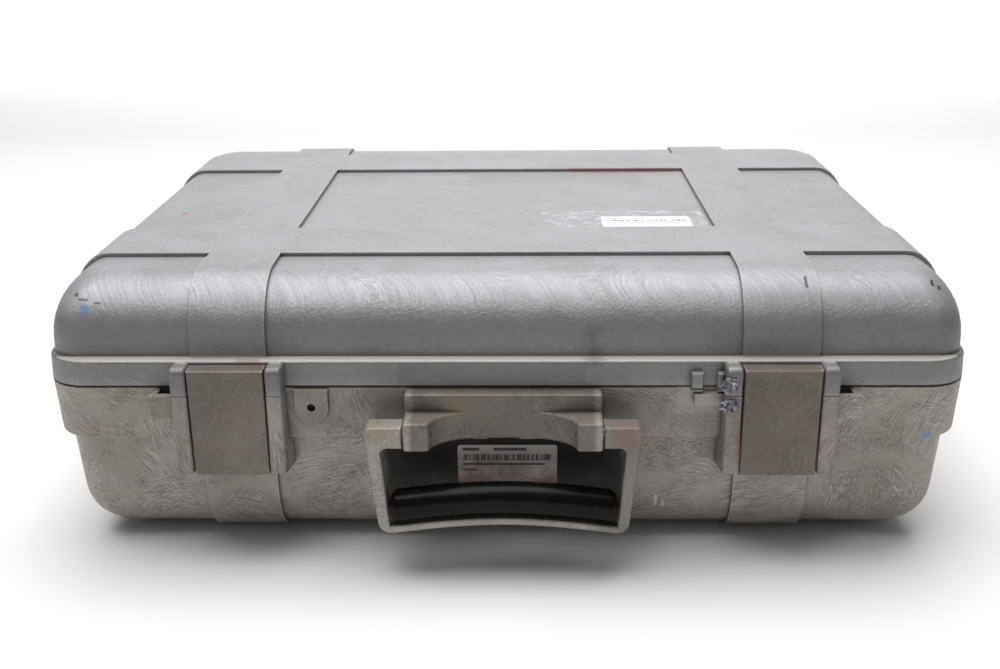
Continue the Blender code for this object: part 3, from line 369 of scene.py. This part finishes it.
def bare_abs(colours):
    """Black ABS as it left the mould, without paint: satin, with a fine leather-like grain."""
    material, tree, shader, place = new_material("moulded_black_abs")
    grain = add(tree, "ShaderNodeTexVoronoi", {"Vector": place, "Scale": 1 / (1.4 * MM),
                                               "Randomness": 1.0}).outputs["Distance"]
    dust = add(tree, "ShaderNodeTexNoise", {"Vector": place, "Scale": 1 / (35 * MM), "Detail": 6.0,
                                            "Roughness": 0.65}).outputs["Fac"]
    dust = add(tree, "ShaderNodeMapRange", {"Value": dust, "From Min": 0.4, "From Max": 0.75,
                                            "To Max": 0.25}).outputs["Result"]
    colour = add(tree, "ShaderNodeMix", {"Factor": dust, 6: (*colours.plastic, 1),
                                         7: linear("#55524e")}, data_type="RGBA").outputs[2]
    bump = add(tree, "ShaderNodeBump", {"Height": grain, "Strength": 0.25, "Distance": 0.2 * MM})
    tree.links.new(colour, shader.inputs["Base Color"])
    tree.links.new(bump.outputs["Normal"], shader.inputs["Normal"])
    shader.inputs["Roughness"].default_value = 0.5
    return material


def latch_paint(colours):
    """Handled paint: smooth, olive-grey with skin grease in soft smears, lightened at the edges by wear
    and a painted highlight.
    """
    material, tree, shader, place = worn_paint("silver_paint_on_latch_plates", colours.latch_paint,
                                               "#655e55", 0.16, 0.8, 0.42, 3.0, 0.85)
    smear = add(tree, "ShaderNodeTexNoise", {"Vector": place, "Scale": 1 / (24 * MM), "Detail": 4.0,
                                             "Roughness": 0.5, "Distortion": 2.2}).outputs["Fac"]
    smear = add(tree, "ShaderNodeMapRange", {"Value": smear, "From Min": 0.45, "From Max": 0.7},
                interpolation_type="SMOOTHSTEP").outputs["Result"]
    lay_over(tree, shader, smear, 0.4, "#7d6a58")
    return material


def bail_paint(colours):
    """The bail's paint is rubbed down to a lighter, duller silver by hands."""
    material, tree, shader, place = worn_paint("silver_paint_on_moulded_bail", colours.bail_paint,
                                               "#8f897f", 0.22, 0.5, 0.45, 3.0, 0.6)
    mark_places(tree, shader, place, (
        # the darker right arm, and rubbed brown spots at both pins
        ((62, -22, -45), (10, 12, 42), 10, 0.8, "#5a5551", 0.5),
        ((60, -22, -16), (3, 6, 4), 5, 1.2, "#8f5f46", 0.3),
        ((-64, -22, -14), (3, 6, 4), 5, 1.2, "#8f7750", 0.25),
    ))
    return material


def grip_plastic(colours):
    """PVC sleeve, moulded: near-black with a broad soft shine and a faint pebble."""
    material, tree, shader, place = new_material("moulded_black_pvc_grip")
    pebble = add(tree, "ShaderNodeTexNoise", {"Vector": place, "Scale": 1 / (0.9 * MM),
                                              "Detail": 2.0}).outputs["Fac"]
    dust = add(tree, "ShaderNodeTexNoise", {"Vector": place, "Scale": 1 / (12 * MM), "Detail": 6.0,
                                            "Roughness": 0.7}).outputs["Fac"]
    dust = add(tree, "ShaderNodeMapRange", {"Value": dust, "From Min": 0.5, "From Max": 0.8,
                                            "To Max": 0.14}).outputs["Result"]
    colour = add(tree, "ShaderNodeMix", {"Factor": dust, 6: (*colours.grip, 1),
                                         7: linear("#3c3d40")}, data_type="RGBA").outputs[2]
    gloss = add(tree, "ShaderNodeMapRange", {"Value": pebble, "From Min": 0.3, "From Max": 0.7,
                                             "To Min": 0.24, "To Max": 0.34}).outputs["Result"]
    bump = add(tree, "ShaderNodeBump", {"Height": pebble, "Strength": 0.12, "Distance": 0.15 * MM})
    tree.links.new(colour, shader.inputs["Base Color"])
    tree.links.new(gloss, shader.inputs["Roughness"])
    tree.links.new(bump.outputs["Normal"], shader.inputs["Normal"])
    shader.inputs["Specular IOR Level"].default_value = 0.13
    return material


def torn_plastic(colours):
    """Fractured ABS: grey, whitened where it was stretched, and glossy on its fresh faces."""
    material, tree, shader, place = new_material("fractured_black_abs")
    stress = add(tree, "ShaderNodeTexNoise", {"Vector": place, "Scale": 1 / (2 * MM), "Detail": 6.0,
                                              "Roughness": 0.75}).outputs["Fac"]
    white = add(tree, "ShaderNodeMapRange", {"Value": stress, "From Min": 0.5, "From Max": 0.62,
                                             "To Max": 0.8}).outputs["Result"]
    colour = add(tree, "ShaderNodeMix", {"Factor": white, 6: linear("#6a6b73"),
                                         7: linear("#e2e4ea")}, data_type="RGBA").outputs[2]
    bump = add(tree, "ShaderNodeBump", {"Height": stress, "Strength": 0.8, "Distance": 0.7 * MM})
    tree.links.new(colour, shader.inputs["Base Color"])
    tree.links.new(bump.outputs["Normal"], shader.inputs["Normal"])
    shader.inputs["Roughness"].default_value = 0.28
    return material


def pin_steel():
    """Drawn steel pin stock: bright, with fine rings left by the drawing die and brown stain."""
    material, tree, shader, place = new_material("drawn_steel_pin")
    rings = add(tree, "ShaderNodeTexWave", {"Vector": place, "Scale": 0.35 / MM, "Distortion": 1.5,
                                            "Detail": 2.0}, bands_direction="X").outputs["Fac"]
    stain = add(tree, "ShaderNodeTexNoise", {"Vector": place, "Scale": 1 / (5 * MM), "Detail": 5.0,
                                             "Roughness": 0.7}).outputs["Fac"]
    stain = add(tree, "ShaderNodeMapRange", {"Value": stain, "From Min": 0.48, "From Max": 0.72,
                                             "To Max": 0.6}).outputs["Result"]
    colour = add(tree, "ShaderNodeMix", {"Factor": stain, 6: linear("#b4b6ba"),
                                         7: linear("#75695c")}, data_type="RGBA").outputs[2]
    polish = add(tree, "ShaderNodeMapRange", {"Value": rings, "To Min": 0.24, "To Max": 0.42})
    tree.links.new(colour, shader.inputs["Base Color"])
    tree.links.new(polish.outputs["Result"], shader.inputs["Roughness"])
    shader.inputs["Metallic"].default_value = 1.0
    return material


def blacked_steel():
    """Turned steel screw, blacked in oil: almost no shine, with rings from the lathe."""
    material, tree, shader, place = new_material("oil_blacked_steel_screw")
    rings = add(tree, "ShaderNodeTexNoise", {"Vector": place, "Scale": 1 / (1.2 * MM),
                                             "Detail": 4.0}).outputs["Fac"]
    colour = add(tree, "ShaderNodeMix", {"Factor": rings, 6: linear("#1c1c1e"),
                                         7: linear("#2f2e30")}, data_type="RGBA").outputs[2]
    tree.links.new(colour, shader.inputs["Base Color"])
    shader.inputs["Metallic"].default_value = 0.6
    shader.inputs["Roughness"].default_value = 0.55
    return material


def seal_rubber():
    """Extruded EPDM: matt black with a dusty bloom."""
    material, tree, shader, place = new_material("extruded_epdm_seal")
    bloom = add(tree, "ShaderNodeTexNoise", {"Vector": place, "Scale": 1 / (8 * MM), "Detail": 6.0,
                                             "Roughness": 0.65}).outputs["Fac"]
    bloom = add(tree, "ShaderNodeMapRange", {"Value": bloom, "From Min": 0.42, "From Max": 0.75,
                                             "To Max": 0.5}).outputs["Result"]
    colour = add(tree, "ShaderNodeMix", {"Factor": bloom, 6: linear("#151515"),
                                         7: linear("#3a3a39")}, data_type="RGBA").outputs[2]
    tree.links.new(colour, shader.inputs["Base Color"])
    shader.inputs["Roughness"].default_value = 0.68
    return material


def label_stock(name, paper, soil_and_shade, low, high, up, rows):
    """Coated thermal stock: a smooth faint sheen, with a row of bars that holds no code and
    short rules in place of print. Rows are height low and high, start, end, pitch in mm or 0."""
    material, tree, shader, place = new_material(name)
    sides = add(tree, "ShaderNodeSeparateXYZ", {"Vector": place})
    across = add(tree, "ShaderNodeMapRange", {"Value": sides.outputs["X"], "From Min": low[0],
                                              "From Max": high[0]}, clamp=False).outputs["Result"]
    height = add(tree, "ShaderNodeMapRange", {"Value": sides.outputs[up], "From Min": low[1],
                                              "From Max": high[1]}, clamp=False).outputs["Result"]
    ink = 0.0
    for row_low, row_high, start, end, pitch in rows:
        tall = add(tree, "ShaderNodeMath", {0: height, 1: (row_low + row_high) / 2,
                                            2: (row_high - row_low) / 2}, operation="COMPARE")
        wide = add(tree, "ShaderNodeMath", {0: across, 1: (start + end) / 2, 2: (end - start) / 2},
                   operation="COMPARE")
        row = add(tree, "ShaderNodeMath", {0: tall.outputs[0], 1: wide.outputs[0]},
                  operation="MULTIPLY").outputs[0]
        if pitch:
            bars = add(tree, "ShaderNodeTexNoise", {"W": sides.outputs["X"], "Scale": 1 / (pitch * MM),
                                                    "Detail": 0.0}, noise_dimensions="1D")
            bars = add(tree, "ShaderNodeMapRange", {"Value": bars.outputs["Fac"], "From Min": 0.44,
                                                    "From Max": 0.52}).outputs["Result"]
            row = add(tree, "ShaderNodeMath", {0: row, 1: bars}, operation="MULTIPLY").outputs[0]
        ink = add(tree, "ShaderNodeMath", {0: ink, 1: row}, operation="MAXIMUM").outputs[0]
    cloudy = add(tree, "ShaderNodeTexNoise", {"Vector": place, "Scale": 1 / (11 * MM), "Detail": 5.0,
                                              "Roughness": 0.6}).outputs["Fac"]
    # Darker and clouded towards the lower edge: on the front label this is painted shade under the grip,
    # with soil
    lowered = add(tree, "ShaderNodeMath", {0: height, 1: -0.7, 2: cloudy}, operation="MULTIPLY_ADD")
    soil_and_shade_fade = add(tree, "ShaderNodeMapRange", {"Value": lowered.outputs[0], "From Min": -0.1,
                                              "From Max": 0.5}, interpolation_type="SMOOTHSTEP")
    colour = add(tree, "ShaderNodeMix", {"Factor": soil_and_shade_fade.outputs["Result"], 6: linear(paper),
                                         7: linear(soil_and_shade)}, data_type="RGBA").outputs[2]
    tree.links.new(colour, shader.inputs["Base Color"])
    lay_over(tree, shader, ink, 0.86, "#262528")
    shader.inputs["Roughness"].default_value = 0.45
    return material


def clear_tape():
    """Polypropylene packing tape: glassy, with trapped air and dirt along its edges."""
    material, tree, shader, place = new_material("clear_polypropylene_tape")
    air = add(tree, "ShaderNodeTexNoise", {"Vector": place, "Scale": 1 / (6 * MM), "Detail": 6.0,
                                           "Roughness": 0.7}).outputs["Fac"]
    air = add(tree, "ShaderNodeMapRange", {"Value": air, "From Min": 0.45, "From Max": 0.66})
    colour = add(tree, "ShaderNodeMix", {"Factor": air.outputs["Result"], 6: linear("#b9bbc0"),
                                         7: linear("#e4e5e8")}, data_type="RGBA").outputs[2]
    see = add(tree, "ShaderNodeMapRange", {"Value": air.outputs["Result"], "To Min": 0.16,
                                           "To Max": 0.5}).outputs["Result"]
    tree.links.new(colour, shader.inputs["Base Color"])
    tree.links.new(see, shader.inputs["Alpha"])
    shader.inputs["Roughness"].default_value = 0.16
    return material


def studio_floor(colours):
    """Matt board, sprayed pale, with the least unevenness."""
    material, tree, shader, place = new_material("sprayed_studio_board")
    tone = add(tree, "ShaderNodeTexNoise", {"Vector": place, "Scale": 2.5, "Detail": 3.0}).outputs["Fac"]
    colour = add(tree, "ShaderNodeMix", {"Factor": tone, 6: (*colours.floor, 1),
                                         7: linear("#ededed")}, data_type="RGBA").outputs[2]
    tree.links.new(colour, shader.inputs["Base Color"])
    shader.inputs["Roughness"].default_value = 0.9
    return material


# ---- modelling helpers -----------------------------------------------------------

def only(piece):
    """Selects one piece and makes it the active one."""
    bpy.ops.object.select_all(action="DESELECT")
    piece.select_set(True)
    bpy.context.view_layer.objects.active = piece


def apply_modifier(piece, kind, **settings):
    """Adds one modifier with its settings and applies it."""
    only(piece)
    modifier = piece.modifiers.new(kind.title(), kind)
    for name, value in settings.items():
        setattr(modifier, name, value)
    bpy.ops.object.modifier_apply(modifier=modifier.name)


def copy_of(node, name):
    """A copy of a CAD node's mesh, merged to whole flat faces and without stored normals."""
    only(frame["nodes"][node])
    bpy.ops.object.duplicate()
    piece = bpy.context.view_layer.objects.active
    piece.name = name
    piece.data.name = name
    for key in list(piece.keys()):
        del piece[key]
    bpy.ops.object.parent_clear(type="CLEAR_KEEP_TRANSFORM")
    bpy.ops.object.mode_set(mode="EDIT")
    bpy.ops.mesh.select_all(action="SELECT")
    bpy.ops.mesh.remove_doubles(threshold=0.01 * MM)
    bpy.ops.mesh.dissolve_limited(angle_limit=math.radians(0.3))
    bpy.ops.mesh.customdata_custom_splitnormals_clear()
    bpy.ops.mesh.select_all(action="DESELECT")
    bpy.ops.object.mode_set(mode="OBJECT")
    return piece


def finish_piece(piece, body, slot_name, *materials, smooth=28):
    """Smooth shading, its materials, and the body that the piece belongs to."""
    only(piece)
    bpy.ops.object.shade_smooth_by_angle(angle=math.radians(smooth))
    apply_modifier(piece, "WEIGHTED_NORMAL", keep_sharp=True)
    piece.data.materials.clear()
    for material in materials:
        piece.data.materials.append(material)
    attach(piece, body)


def moulding(node, name, body, slot_name, *materials):
    """A CAD node's shape with its flats shaded flat and its roundings smooth."""
    piece = copy_of(node, name)
    finish_piece(piece, body, slot_name, *materials)
    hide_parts(node)
    return piece


def line_inside(piece, floor_z):
    """Gives the inner faces, reached from the flat floor over gentle bends, the bare plastic."""
    mesh = piece.data
    inside = max((face for face in mesh.polygons
                  if abs(face.center.z - floor_z) < MM and abs(face.normal.z) > 0.99),
                 key=lambda face: face.area)
    for item in (*mesh.vertices, *mesh.edges, *mesh.polygons):
        item.select = False
    inside.select = True
    only(piece)
    bpy.ops.object.mode_set(mode="EDIT")
    bpy.ops.mesh.select_mode(type="FACE")
    bpy.ops.mesh.faces_select_linked_flat(sharpness=math.radians(40))
    bpy.ops.object.mode_set(mode="OBJECT")
    for face in mesh.polygons:
        if face.select:
            face.material_index = 1


def paint_nodes(names, material):
    """Gives CAD nodes that need no new mesh a material, smooth but for their sharp edges."""
    for name in names:
        node = frame["nodes"][name]
        node.data.materials.clear()
        node.data.materials.append(material)
        node.data.shade_smooth()
        node.data.set_sharp_from_angle(angle=math.radians(35))


# ---- pieces --------------------------------------------------------------------

class CasePiece:
    """What the case's operators share."""
    bl_options = {"REGISTER", "UNDO"}

    @property
    def sizes(self):
        return bpy.context.scene.case_sizes

    @property
    def colours(self):
        return bpy.context.scene.case_colours


class CASE_OT_lid(CasePiece, bpy.types.Operator):
    """Lid shell: painted outside, bare plastic inside"""
    bl_idname = "case.lid"
    bl_label = "Lid Shell"

    def execute(self, context):
        lid = moulding("lid_shell", "lid_shell_moulding", "lid", "lid_paint",
                       lid_paint(self.colours), bare_abs(self.colours))
        line_inside(lid, LID_TOP - self.sizes.wall - BAND_RAISE)
        return {"FINISHED"}


class CASE_OT_base(CasePiece, bpy.types.Operator):
    """Base shell: painted outside, bare plastic inside"""
    bl_idname = "case.base"
    bl_label = "Base Shell"

    def execute(self, context):
        base = moulding("base_shell", "base_shell_moulding", "base", "base_paint",
                        base_paint(self.colours), bpy.data.materials["moulded_black_abs"])
        line_inside(base, BASE_BOTTOM + self.sizes.wall + BAND_RAISE)
        return {"FINISHED"}


class CASE_OT_latches(CasePiece, bpy.types.Operator):
    """Latch plates with worn edges and their links, and the pins of latches, hinges and handle"""
    bl_idname = "case.latches"
    bl_label = "Latches"

    def execute(self, context):
        paint = latch_paint(self.colours)
        steel = pin_steel()
        for side in ("left", "right"):
            moulding("latch_lever_" + side, "latch_plate_" + side, side + "_lever", "latch_paint", paint)
            moulding("latch_link_" + side, "latch_strap_" + side, side + "_link", "latch_paint", paint)
            for node, body in (("latch_base_pin_", "base"), ("latch_lever_pin_", side + "_lever"),
                               ("hinge_pin_", "base"), ("handle_pin_", "base")):
                moulding(node + side, "drawn_" + node + side, body, "pin_steel", steel)
        return {"FINISHED"}


class CASE_OT_tear(CasePiece, bpy.types.Operator):
    """Torn plastic where the hasp broke off, one lump on the lid and one on the base"""
    bl_idname = "case.tear"
    bl_label = "Torn Hasp"

    def execute(self, context):
        material = torn_plastic(self.colours)
        crumple = bpy.data.textures.new("crumple", "VORONOI")
        crumple.noise_scale = self.sizes.tear_size * 0.2
        for body, slot_name, z in TEAR_HEIGHTS:
            centre = in_case(TEAR_X, TEAR_Y, z)
            bpy.ops.object.select_all(action="DESELECT")
            bpy.ops.mesh.primitive_ico_sphere_add(subdivisions=5, radius=self.sizes.tear_size / 2,
                                                  location=centre)
            piece = bpy.context.object
            piece.name = "torn_plastic_" + body
            bpy.ops.object.mode_set(mode="EDIT")
            bpy.ops.transform.resize(value=TEAR_SHAPE, center_override=centre)
            bpy.ops.object.mode_set(mode="OBJECT")
            bpy.ops.object.transform_apply(location=True, rotation=True, scale=True)
            apply_modifier(piece, "DISPLACE", texture=crumple, strength=self.sizes.tear_size * 0.28,
                           mid_level=0.85)
            finish_piece(piece, body, slot_name, material, smooth=50)
        return {"FINISHED"}


class CASE_OT_bail(CasePiece, bpy.types.Operator):
    """Handle bail with softly rounded edges"""
    bl_idname = "case.bail"
    bl_label = "Handle Bail"

    def execute(self, context):
        moulding("handle_bail", "handle_bail_frame", "handle", "base_paint", bail_paint(self.colours))
        return {"FINISHED"}


class CASE_OT_grip(CasePiece, bpy.types.Operator):
    """Black arched grip sleeve over the bail's bar"""
    bl_idname = "case.grip"
    bl_label = "Handle Grip"

    def execute(self, context):
        moulding("handle_grip", "handle_grip_sleeve", "handle", "grip_plastic",
                 grip_plastic(self.colours))
        return {"FINISHED"}


class CASE_OT_small_parts(CasePiece, bpy.types.Operator):
    """Gasket, release screw and its seal"""
    bl_idname = "case.small_parts"
    bl_label = "Seals and Screw"

    def execute(self, context):
        paint_nodes(["lid_gasket", "vent_seal"], seal_rubber())
        paint_nodes(["vent_screw"], blacked_steel())
        return {"FINISHED"}


class CASE_OT_labels(CasePiece, bpy.types.Operator):
    """Two labels with bars in place of words, and the clear tape under one of them"""
    bl_idname = "case.labels"
    bl_label = "Labels"

    def execute(self, context):
        # the front label's lower part is darkened by painted shade under the grip
        front = label_stock("shaded_soiled_thermal_label", "#ddd0cd", "#7d5f55", (LABEL_LOW.x, LABEL_LOW.z),
                            (LABEL_HIGH.x, LABEL_HIGH.z), "Z",
                            ((0.86, 0.93, 0.05, 0.22, 0), (0.86, 0.93, 0.36, 0.69, 0),
                             (0.62, 0.77, 0.05, 0.95, 1.1), (0.50, 0.55, 0.05, 0.88, 0),
                             (0.36, 0.41, 0.05, 0.19, 0)))
        top = label_stock("clean_thermal_label", "#f6f5f4", "#e3e0dd",
                          (TOP_LABEL_LOW.x, TOP_LABEL_LOW.y),
                          (TOP_LABEL_HIGH.x, TOP_LABEL_HIGH.y), "Y",
                          ((0.84, 0.90, 0.05, 0.22, 0), (0.84, 0.90, 0.36, 0.69, 0),
                           (0.60, 0.74, 0.05, 0.95, 1.1), (0.48, 0.52, 0.05, 0.88, 0)))
        paint_nodes(["front_label"], front)
        paint_nodes(["panel_label"], top)
        paint_nodes(["panel_tape"], clear_tape())
        return {"FINISHED"}


# ---- stage ------------------------------------------------------------------------

def softbox(name, place, aim, width, depth, power):
    """A rectangular studio light that faces a point."""
    bpy.ops.object.light_add(type="AREA", location=place)
    light = bpy.context.object
    light.name = name
    light.data.shape = "RECTANGLE"
    light.data.size = width
    light.data.size_y = depth
    light.data.energy = power
    light.rotation_euler = (Vector(aim) - Vector(place)).to_track_quat("-Z", "Y").to_euler()
    return light


def select_back_edges(floor, below):
    """Selects the floor's edges behind its middle and under a height."""
    mesh = floor.data
    for vertex in mesh.vertices:
        vertex.select = vertex.co.y > 0 and vertex.co.z < below
    for edge in mesh.edges:
        edge.select = all(mesh.vertices[i].select for i in edge.vertices)


class CASE_OT_stage(CasePiece, bpy.types.Operator):
    """Pale floor with a swept-up back, soft lights and the camera"""
    bl_idname = "case.stage"
    bl_label = "Stage"

    def execute(self, context):
        bpy.ops.object.select_all(action="DESELECT")
        bpy.ops.mesh.primitive_plane_add(size=1, location=(0, 0, 0))
        floor = bpy.context.object
        floor.name = "studio_sweep"
        bpy.ops.object.mode_set(mode="EDIT")
        bpy.ops.transform.resize(value=(FLOOR_WIDTH, FLOOR_DEPTH, 1))
        bpy.ops.mesh.select_all(action="DESELECT")
        bpy.ops.object.mode_set(mode="OBJECT")
        select_back_edges(floor, BACK_HEIGHT)
        bpy.ops.object.mode_set(mode="EDIT")
        bpy.ops.mesh.select_mode(type="EDGE")
        bpy.ops.mesh.extrude_region_move(TRANSFORM_OT_translate={"value": (0, 0, BACK_HEIGHT)})
        bpy.ops.mesh.select_mode(type="VERT")
        bpy.ops.mesh.select_all(action="DESELECT")
        bpy.ops.object.mode_set(mode="OBJECT")
        select_back_edges(floor, BACK_HEIGHT / 2)
        bpy.ops.object.mode_set(mode="EDIT")
        bpy.ops.mesh.bevel(offset=SWEEP_RADIUS, segments=16)
        bpy.ops.object.mode_set(mode="OBJECT")
        bpy.ops.object.shade_smooth()
        floor.data.materials.append(studio_floor(self.colours))
        softbox("overhead_softbox", (-0.1, 0.1, 1.8), (0, 0, 0), 2.4, 1.7, 53)
        softbox("back_wash", (0, 2.0, 1.6), (0, 3.6, 0.6), 4.0, 1.2, 75)
        world = bpy.data.worlds.new("studio_air")
        bpy.context.scene.world = world
        world.use_nodes = True
        world.node_tree.nodes["Background"].inputs["Color"].default_value = linear("#f3f2f1")
        world.node_tree.nodes["Background"].inputs["Strength"].default_value = 0.16
        bpy.context.scene.view_settings.view_transform = "Standard"
        self.place_camera()
        return {"FINISHED"}

    def place_camera(self):
        """Standing eye over the case's front, a little to the right, on a normal lens."""
        pitch, yaw, roll = (math.radians(angle) for angle in (20.56, 1.32, -0.56))
        bpy.ops.object.camera_add()
        camera = bpy.context.object
        camera.name = "front_camera"
        camera.data.lens = 41.92
        camera.data.sensor_width = 36
        turn = Matrix.Rotation(yaw, 4, "Z") @ Matrix.Rotation(math.pi / 2 - pitch, 4, "X")
        turn = turn @ Matrix.Rotation(roll, 4, "Z")
        camera.matrix_world = Matrix.Translation(in_case(11.0, -537.6, 229.7)) @ turn
        bpy.context.scene.camera = camera


class CASE_PT_panel(bpy.types.Panel):
    """Lists the case's pieces and settings"""
    bl_idname = "CASE_PT_panel"
    bl_label = "Hard Carrying Case"
    bl_space_type = "VIEW_3D"
    bl_region_type = "UI"
    bl_category = "Case"

    def draw(self, context):
        for operator in OPERATORS:
            self.layout.operator(operator.bl_idname)
        for group in (context.scene.case_sizes, context.scene.case_colours):
            for name in group.bl_rna.properties.keys():
                if name not in ("rna_type", "name"):
                    self.layout.prop(group, name)


OPERATORS = (CASE_OT_stage, CASE_OT_lid, CASE_OT_base, CASE_OT_latches, CASE_OT_tear,
             CASE_OT_bail, CASE_OT_grip, CASE_OT_small_parts, CASE_OT_labels)
CLASSES = (CaseSizes, CaseColours, *OPERATORS, CASE_PT_panel)


def register():
    for cls in CLASSES:
        bpy.utils.register_class(cls)
    bpy.types.Scene.case_sizes = PointerProperty(type=CaseSizes)
    bpy.types.Scene.case_colours = PointerProperty(type=CaseColours)


def unregister():
    del bpy.types.Scene.case_sizes
    del bpy.types.Scene.case_colours
    for cls in reversed(CLASSES):
        bpy.utils.unregister_class(cls)


def main():
    for scrap in ("Cube", "Light", "Camera"):
        if scrap in bpy.data.objects:
            bpy.data.objects.remove(bpy.data.objects[scrap])
    register()
    for build in (bpy.ops.case.stage, bpy.ops.case.lid, bpy.ops.case.base, bpy.ops.case.latches,
                  bpy.ops.case.tear, bpy.ops.case.bail, bpy.ops.case.grip,
                  bpy.ops.case.small_parts, bpy.ops.case.labels):
        build()


if __name__ == "__main__":
    main()
